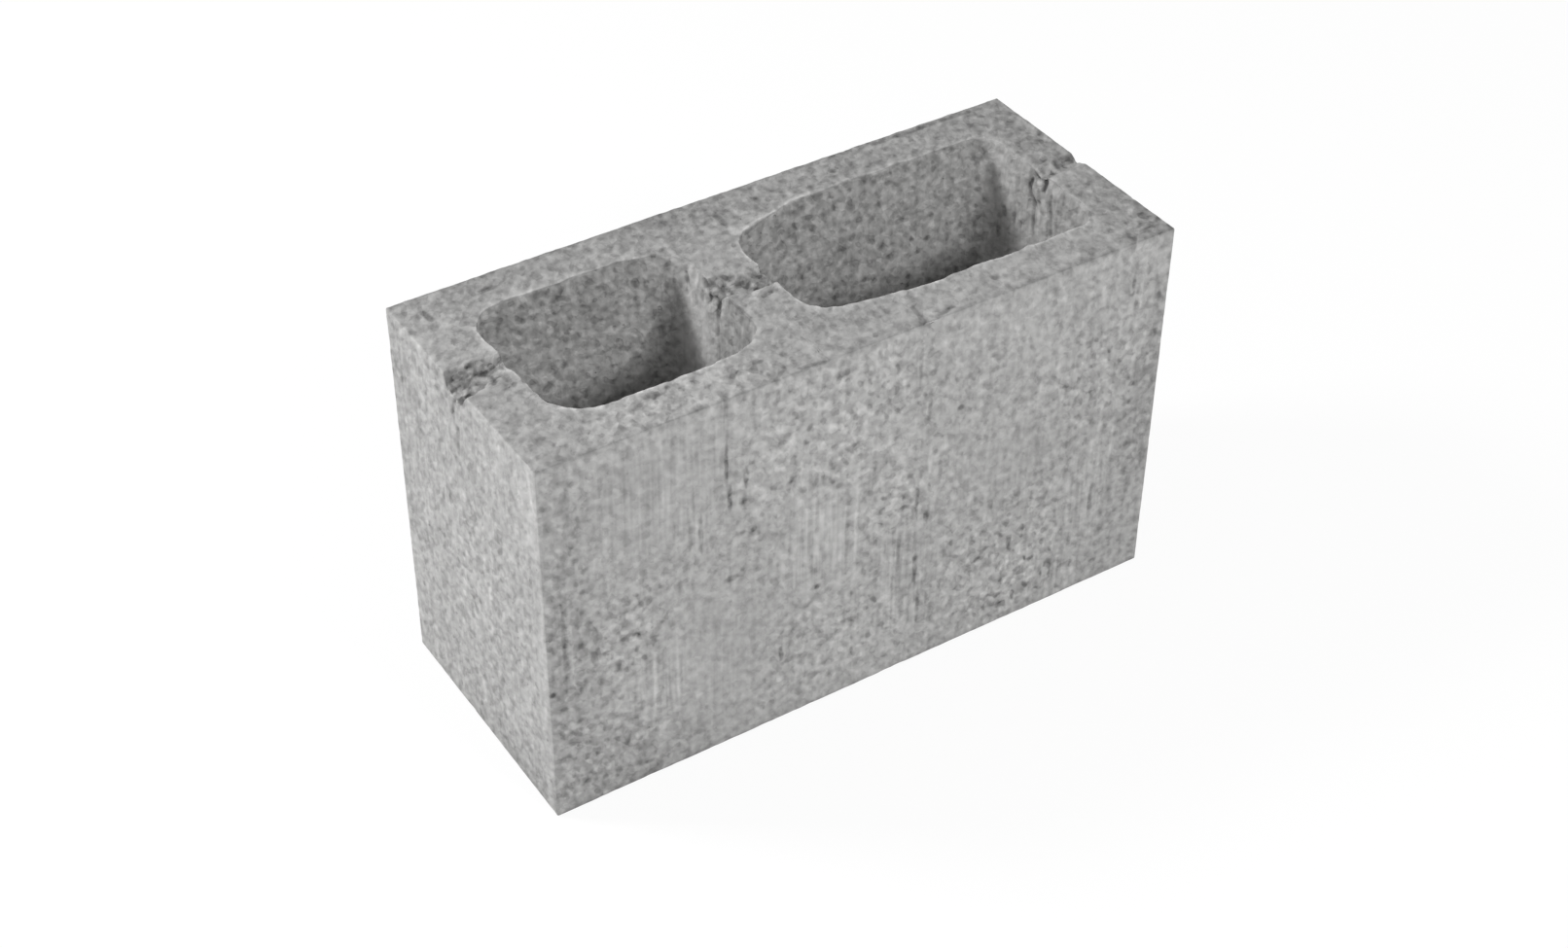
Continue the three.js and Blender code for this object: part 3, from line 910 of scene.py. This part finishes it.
# Fine marks on the front face: the middle and the half axes in X and Z, and how much paler (or, below 0,
# darker) they are than the concrete round them.
FRONT_MARKS = [
    # long scores
    (-77, 196, 1.9, 18, -0.26), (-77, 168, 1.6, 17, -0.56), (-75.4, 149, 2, 10, -0.60),
    (-66.7, 158, 2, 8, -0.48), (-67.8, 145.5, 2.1, 5, -0.40), (-71.5, 150, 1.6, 10, 0.22),
    # streaks
    (-90.5, 136, 1.6, 15, -0.36), (-96, 136, 1.5, 13, -0.22), (-93, 136, 1.5, 14, 0.16),
    (-161, 104, 1.5, 46, -0.20), (-158, 102, 1.6, 50, 0.22), (-116, 61, 1.5, 24, 0.26),
    (-112, 60, 1.5, 20, -0.18), (-104, 58, 1.5, 22, 0.18), (-41, 95, 1.5, 22, 0.20),
    (-29, 84, 1.5, 16, -0.30), (-12, 97, 1.6, 26, -0.22), (-7, 99, 1.6, 36, 0.22),
    (18, 80, 1.8, 18, -0.20), (27.5, 104, 1.7, 15, -0.30), (28, 58, 1.8, 17, -0.40),
    (30.5, 34, 1.8, 15, -0.40), (26, 184, 1.6, 20, -0.24), (32, 158, 1.9, 12, -0.30),
    (34, 123, 1.7, 15, 0.22), (40, 116, 1.6, 12, -0.22), (148, 181, 1.6, 11, -0.34),
    (150.5, 168, 1.6, 11, -0.30), (153, 174, 1.6, 20, 0.20), (135.5, 77, 2.2, 5, -0.44),
    (134.5, 55, 2, 14, -0.32), (138.5, 62, 1.6, 18, 0.18),
    # spots
    (-75, 102, 5.5, 2.8, -0.51), (-48, 42, 1.9, 6, -0.51), (-28, 75, 2.6, 2.4, -0.51),
    (5, 68, 2.8, 2.8, -0.49), (33, 89, 2.2, 6, -0.28), (50, 148, 2.8, 2.3, -0.48),
    (33, 175, 3.4, 2.6, -0.46), (-17, 131, 3.2, 2.6, -0.38), (-17, 194, 4, 3.4, -0.28),
    (-63, 126, 2.3, 2.3, -0.46), (94, 27, 5, 2.4, -0.36), (80, 13, 9, 2.2, -0.20),
    (117, 42, 2.6, 4.5, -0.30), (-125, 92, 3, 3, -0.38), (-129, 113, 3, 2.4, -0.43),
    (-168, 77, 2.4, 2.2, -0.50), (-9, 61, 2.4, 3, -0.40), (-43, 146, 2.2, 3.4, -0.20),
    (128, 141, 3.4, 2.2, -0.42), (150, 130, 3, 2.4, -0.36), (140, 13, 3.6, 2.2, -0.44),
    (-106, 88, 2.4, 3.2, -0.38), (-122, 110, 2.2, 3, -0.36), (-48, 56, 2.6, 2.2, -0.36),
]

MARK_DEPTH = 4.0  # how far a fine mark reaches into its wall
MARK_RELIEF = 0.6  # height in mm of a fine mark that is 1 paler
CONCRETE = (0.37, 0.368, 0.364)
MEAN_TONE, LEAST_TONE = 0.967, 0.2  # before anything is added, and the darkest that it may get
GRAIN_LEAN = (0.417, 0.660, -0.624)  # the slanted direction that the grain is drawn out along
GRAIN_DRAW = 1.8  # and by how much
# What each mask multiplies the colour by where it is 1, and how much more of the texture shows there.
# bed darkens partly for the bed's rougher concrete and partly as painted shade; rim lightens as a painted
# highlight on the proud rims; worn lightens partly for wear and partly as a painted highlight on the arrises.
TONES = {"bed": 0.745, "groove": 0.80, "edge": 0.70, "worn": 1.10, "rim": 1.46}
HARSHNESS = {"core": 0.5, "bed": 0.2, "groove": 1.0, "grain": 0.4}


def concrete_material():
    """Vibrated concrete. Grain, pits, pale sand, streaks and marks lighten or darken a tone around 1, more
    so on the cell walls, in the grooves, on the rough bed and where the grain mask says. The bed, grooves
    and long arrises then darken it, worn edges and proud rims lighten it, and it multiplies the concrete's
    colour. The bed's darkening is partly its rougher concrete and partly painted shade, the proud rims'
    lightening is a painted highlight, and the worn edges' lightening is partly wear and partly a painted
    highlight on the arrises. The zones add painted light and shade in the cells. The same patterns, in
    millimetres of height, make one bump."""
    material = bpy.data.materials.new("concrete")
    tree = empty_tree(material)
    grain, grit, pore, mark = grain_group(), grit_group(), pore_group(), mark_group()

    place = vectors(tree, "SCALE", put(tree, "ShaderNodeTexCoord").outputs["Object"], Scale=1 / MM)
    along = vectors(tree, "DOT_PRODUCT", place, GRAIN_LEAN)
    squeeze = maths(tree, "MULTIPLY", along, 1 / GRAIN_DRAW - 1)
    grain_place = vectors(tree, "MULTIPLY_ADD", GRAIN_LEAN, squeeze, place)
    names = "edge", "worn", "rim", "bed", "groove", "core", "mark", "mark_tone", "shade", "grain", "streaks"
    masks = {name: put(tree, "ShaderNodeAttribute", attribute_name=name).outputs["Fac"] for name in names}

    def grains(seed, size, draw=1.0, detail=1.0, harshness=0.5):
        """Grain along the slant or, if drawn out, straight up."""
        values = {"Size": size, "Draw": draw, "Detail": detail, "Harshness": harshness, "Seed": seed}
        return placed(tree, grain, "Value", Place=grain_place if draw == 1.0 else place, **values)

    def shifted(whole, scale, strength):
        """A place moved by strength times a noise vector about 0, with about `scale` waves a mm."""
        noise = put(tree, "ShaderNodeTexNoise", {"Vector": place, "Scale": scale, "Detail": 2.0})
        offset = vectors(tree, "SUBTRACT", noise.outputs["Color"], (0.5, 0.5, 0.5))
        return vectors(tree, "MULTIPLY_ADD", offset, (strength, strength, strength), whole)

    patches = grains(1.3, 40.0, detail=2.0)
    speckle = grains(2.7, 4.0, detail=2.0, harshness=0.6)
    clumps = grains(3.1, 3.6, detail=0.3)
    ripples = maths(tree, "SINE", maths(tree, "MULTIPLY", grains(8.3, 6.5, detail=0.5), 4.0))
    drawn = grains(4.9, 2.4, draw=14.0)
    wide_drawn = grains(5.2, 8.0, draw=10.0)
    pits = smooth_range(tree, grains(6.4, 3.8, detail=0.4), 0.2, 0.8)
    pale = smooth_range(tree, grains(7.8, 3.8, detail=0.4), 0.2, 0.8)
    pores = placed(tree, pore, "Mask", Place=grain_place, Spacing=9.0, Radius=1.4, Share=0.4)
    sand = placed(tree, grit, "Value", Place=shifted(grain_place, 0.5, 1.6), Size=2.8)
    wandering = shifted(place, 0.16, 1.6)
    gaps = smooth_range(tree, grains(9.5, 4.0), 0.0, 0.6)

    terms = []
    for x, z, across, up, paler in FRONT_MARKS:
        scale = (1 / across, 1 / MARK_DEPTH, 1 / up)
        shift = (-x * scale[0], WIDTH / 2 * scale[1], -z * scale[2])
        terms.append((placed(tree, mark, "Mask", Place=wandering, Scale=scale, Shift=shift), paler))
    unbroken = maths(tree, "MULTIPLY_ADD", gaps, -0.4, 0.95)
    marks = maths(tree, "MULTIPLY", summed(tree, terms), unbroken)
    # The pressed marks' tone is partly painted shade in their dents and painted highlight on their lumps.
    pressed = maths(tree, "MULTIPLY", smooth_range(tree, masks["mark"], 0.0, 0.7), masks["mark_tone"])

    # Each pattern of the texture, how much paler than the tone it is, and its height in millimetres.
    dotted = summed(tree, [(masks["grain"], 1.1), (masks["core"], 0.2)])
    dotted = maths(tree, "MAXIMUM", maths(tree, "ADD", dotted, 0.7), 0.15)
    rippled = maths(tree, "MULTIPLY_ADD", maths(tree, "MAXIMUM", masks["grain"], 0.0), 0.045, 0.055)
    patterns = [
        (speckle, 0.15, 0.06),
        (clumps, 0.11, 0.09),
        (ripples, rippled, 0.03),
        (sand, 0.10, 0.02),
        (pits, maths(tree, "MULTIPLY", dotted, -0.20), -0.14),
        (pale, maths(tree, "MULTIPLY", dotted, 0.17), 0.09),
        (pores, -0.14, -0.3),
    ]
    texture = summed(tree, [(value, paler) for value, paler, high in patterns])
    harsh = summed(tree, [(masks[name], more) for name, more in HARSHNESS.items()])
    harsh = maths(tree, "ADD", harsh, 1.0)

    streaked = maths(tree, "MULTIPLY_ADD", masks["streaks"], 0.12, 0.06)
    terms = [(patches, 0.03), (drawn, streaked), (wide_drawn, 0.03), (marks, 1.0), (pressed, 1.0)]
    # The zones' tone, with its painted light and shade in the cells, is added here.
    tone = summed(tree, terms + [(masks["shade"], 1.0), (masks["core"], 0.05)])
    tone = maths(tree, "ADD", maths(tree, "MULTIPLY_ADD", texture, harsh, tone), MEAN_TONE)
    masks["edge"] = maths(tree, "MULTIPLY", masks["edge"], maths(tree, "MULTIPLY_ADD", gaps, -0.7, 1.0))
    for name, share in TONES.items():
        tone = maths(tree, "MULTIPLY", tone, maths(tree, "MULTIPLY_ADD", masks[name], share - 1.0, 1.0))
    colour = vectors(tree, "SCALE", CONCRETE, Scale=maths(tree, "MAXIMUM", tone, LEAST_TONE))

    relief = summed(tree, [(value, high) for value, paler, high in patterns] + [(drawn, 0.05)])
    height = maths(tree, "MULTIPLY_ADD", relief, harsh, maths(tree, "MULTIPLY", marks, MARK_RELIEF))
    bump = put(tree, "ShaderNodeBump", {"Strength": 1.0, "Distance": MM, "Height": height}).outputs[0]
    roughness = maths(tree, "MULTIPLY_ADD", pits, 0.06, 0.88)
    finish = {"Base Color": colour, "Roughness": roughness, "Normal": bump, "Specular IOR Level": 0.25}
    shader = put(tree, "ShaderNodeBsdfPrincipled", finish).outputs[0]
    put(tree, "ShaderNodeOutputMaterial", {"Surface": shader})
    return material


# -------- the studio

AIM = (0.0, 0.0, 0.1)  # what the lamps point at
CARD = (0.92, 0.92, 0.92, 1.0)
WHITE = (1.0, 1.0, 1.0, 1.0)
PLAIN_SHARE = 0.92  # how much of the floor the camera sees as plain white
SURROUND = 0.47  # strength of the white surround's light on the object
CAMERA_PLACE = (-0.53155, -0.81185, 0.87274)
CAMERA_FORWARD = (0.41743, 0.66020, -0.62441)
CAMERA_LENS = 59.059  # on a sensor 36 mm wide
CAMERA_SHIFT = (0.0186, -0.0152)


def floor_material():
    """A white floor that lights the object as white card does. The camera sees it mixed with plain white,
    so that only a soft trace of the object's shadow shows."""
    material = bpy.data.materials.new("studio_floor")
    tree = empty_tree(material)
    card = put(tree, "ShaderNodeBsdfDiffuse", {"Color": CARD}).outputs[0]
    white = put(tree, "ShaderNodeEmission", {"Color": WHITE, "Strength": 1.0}).outputs[0]
    seen = put(tree, "ShaderNodeLightPath").outputs["Is Camera Ray"]
    mix = put(tree, "ShaderNodeMixShader", {0: maths(tree, "MULTIPLY", seen, PLAIN_SHARE), 1: card, 2: white})
    put(tree, "ShaderNodeOutputMaterial", {"Surface": mix.outputs[0]})
    return material


def studio_floor():
    """A square of white card under the object, a tenth of a millimetre below the bed face."""
    reach, level = 6.0, -0.0001
    corners = [(-reach, -reach, level), (reach, -reach, level), (reach, reach, level), (-reach, reach, level)]
    mesh = bpy.data.meshes.new("studio_floor")
    mesh.from_pydata(corners, [], [(0, 1, 2, 3)])
    mesh.materials.append(floor_material())
    floor = in_scene("studio_floor", mesh)


def aimed(thing, place, direction):
    """The lamp or camera put at place and pointed along direction, level."""
    thing.location = place
    thing.rotation_euler = Vector(direction).to_track_quat("-Z", "Y").to_euler()
    return thing


def soft_light(name, place, size, power):
    """A square area lamp at place, turned to face AIM. Lengths in metres, power in watts."""
    data = bpy.data.lights.new(name, "AREA")
    data.shape = "SQUARE"
    data.size = size
    data.energy = power
    aimed(in_scene(name, data), place, Vector(AIM) - Vector(place))


def studio_world():
    """An even white surround. What the camera sees of it is plain white."""
    world = bpy.data.worlds.new("studio")
    tree = empty_tree(world)
    seen = put(tree, "ShaderNodeLightPath").outputs["Is Camera Ray"]
    strength = maths(tree, "MULTIPLY_ADD", seen, 1.0 - SURROUND, SURROUND)
    white = put(tree, "ShaderNodeBackground", {"Color": WHITE, "Strength": strength}).outputs[0]
    put(tree, "ShaderNodeOutputWorld", {"Surface": white})
    bpy.context.scene.world = world


def camera():
    """The camera, level, at the height and angle from which both cells and the left end are seen."""
    data = bpy.data.cameras.new("camera")
    data.sensor_width = 36.0
    data.lens = CAMERA_LENS
    data.shift_x, data.shift_y = CAMERA_SHIFT
    bpy.context.scene.camera = aimed(in_scene("camera", data), CAMERA_PLACE, CAMERA_FORWARD)


camera()
studio_world()
studio_floor()
soft_light("key", (-0.989, 0.693, 1.150), 0.35, 19.5)
soft_light("front", (0.245, -1.546, 1.345), 0.28, 17.0)

block = block_piece()
block.data.materials.append(concrete_material())
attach(block, "root")
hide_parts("block")

bpy.context.scene.view_settings.view_transform = "Standard"
